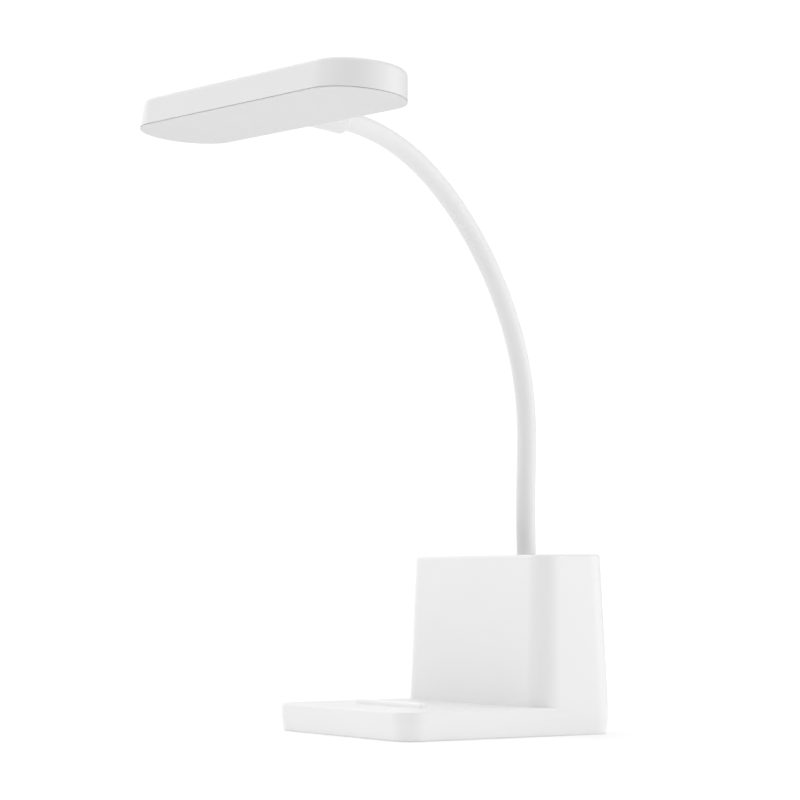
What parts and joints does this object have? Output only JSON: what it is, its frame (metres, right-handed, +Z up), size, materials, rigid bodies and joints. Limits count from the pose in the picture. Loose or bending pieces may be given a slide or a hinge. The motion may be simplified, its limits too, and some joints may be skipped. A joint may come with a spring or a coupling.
{
  "type": "desk lamp",
  "caption": "Bendable-neck LED desk lamp with a pill-shaped head, a phone stop on a low slab and an open storage well in its upright.",
  "frame": {"origin": "on the surface the lamp stands on, under the centre of its slab", "axes": "+Z up, -Y the front (phone stop side), +X to the right seen from the front"},
  "size_m": [0.2318, 0.2459, 0.3879],
  "materials": {
    "casing_white": "satin injection-moulded white",
    "silicone_white": "smooth matt silicone",
    "opal": "opal diffuser",
    "inner_white": "plain moulded",
    "pad_silicone": "matt silicone sheet",
    "steel": "zinc plated",
    "ballast_steel": "black e-coat",
    "cell_wrap": "shrink wrap",
    "nickel": "nickel",
    "board_green": "solder mask",
    "chip_black": "moulded",
    "board_white": "white solder mask on aluminium",
    "led": "phosphor",
    "wire_black": "insulation",
    "stop_silicone": "matt silicone"
  },
  "bodies": {
    "base": {"base_shell": "casing_white", "bottom_cover": "inner_white", "antislip_pad": "pad_silicone", "cover_screws": "steel", "ballast_plate": "ballast_steel", "ballast_screws": "steel", "battery_tray": "inner_white", "battery_cells": "cell_wrap", "battery_contacts": "nickel", "control_board": "board_green", "board_components": "chip_black", "board_screws": "steel", "charge_socket": "nickel", "phone_stop": "stop_silicone", "tact_switch": "chip_black", "button_board": "board_green", "button_board_screws": "steel", "neck_ferrule": "steel", "neck_washer": "steel", "neck_lock_nut": "steel", "neck_lead": "wire_black", "button_lead": "wire_black", "battery_lead": "wire_black", "neck_core_base": "steel", "neck_sleeve_base": "silicone_white"},
    "button": {"power_button": "casing_white"},
    "neck_1": {"neck_core_1": "steel", "neck_sleeve_1": "silicone_white"},
    "neck_2": {"neck_core_2": "steel", "neck_sleeve_2": "silicone_white"},
    "neck_3": {"neck_core_3": "steel", "neck_sleeve_3": "silicone_white"},
    "neck_4": {"neck_core_4": "steel", "neck_sleeve_4": "silicone_white"},
    "neck_5": {"neck_core_5": "steel", "neck_sleeve_5": "silicone_white"},
    "neck_6": {"neck_core_6": "steel", "neck_sleeve_6": "silicone_white"},
    "neck_7": {"neck_core_7": "steel", "neck_sleeve_7": "silicone_white"},
    "head": {"neck_core_head": "steel", "neck_sleeve_head": "silicone_white", "head_socket": "casing_white", "head_ferrule": "steel", "head_lock_nut": "steel", "head_shell": "casing_white", "reflector_frame": "inner_white", "led_board": "board_white", "led_chips": "led", "head_screws": "steel", "diffuser": "opal"}
  },
  "joints": [
    {"name": "neck_bend_1", "type": "hinge", "parent": "base", "child": "neck_1", "pos_m": [0.00002, 0.0624, 0.12757], "axis": [0.9932, 0.1165, 0], "range_deg": [-11, 11]},
    {"name": "neck_sway_1", "type": "hinge", "parent": "neck_1", "child": "neck_2", "pos_m": [-0.0001, 0.06342, 0.16959], "axis": [0.1164, -0.9926, 0.0344], "range_deg": [-10, 10]},
    {"name": "neck_bend_2", "type": "hinge", "parent": "neck_2", "child": "neck_3", "pos_m": [0.00008, 0.06195, 0.21154], "axis": [0.9932, 0.1165, 0], "range_deg": [-11, 11]},
    {"name": "neck_sway_2", "type": "hinge", "parent": "neck_3", "child": "neck_4", "pos_m": [0.00129, 0.05159, 0.25216], "axis": [0.1091, -0.9298, -0.3515], "range_deg": [-10, 10]},
    {"name": "neck_bend_3", "type": "hinge", "parent": "neck_4", "child": "neck_5", "pos_m": [0.00345, 0.03317, 0.28982], "axis": [0.9932, 0.1165, 0], "range_deg": [-11, 11]},
    {"name": "neck_sway_3", "type": "hinge", "parent": "neck_5", "child": "neck_6", "pos_m": [0.00639, 0.00809, 0.32334], "axis": [0.0858, -0.7319, -0.676], "range_deg": [-10, 10]},
    {"name": "neck_bend_4", "type": "hinge", "parent": "neck_6", "child": "neck_7", "pos_m": [0.0101, -0.02348, 0.35067], "axis": [0.9932, 0.1165, 0], "range_deg": [-11, 11]},
    {"name": "neck_sway_4", "type": "hinge", "parent": "neck_7", "child": "head", "pos_m": [0.01459, -0.06177, 0.36687], "axis": [0.0261, -0.2227, -0.9745], "range_deg": [-10, 10]},
    {"name": "power_button_press", "type": "slide", "parent": "base", "child": "button", "axis": [0, 0, -1], "range_m": [0, 0.0007], "stiffness_N_per_m": 600, "springref_m": -0.001}
  ],
  "couplings": [
    {"joint": "neck_bend_2", "follows": "neck_bend_1", "ratio": 1},
    {"joint": "neck_bend_4", "follows": "neck_bend_3", "ratio": 1},
    {"joint": "neck_sway_2", "follows": "neck_sway_1", "ratio": 1},
    {"joint": "neck_sway_3", "follows": "neck_sway_1", "ratio": 1},
    {"joint": "neck_sway_4", "follows": "neck_sway_1", "ratio": 1}
  ]
}
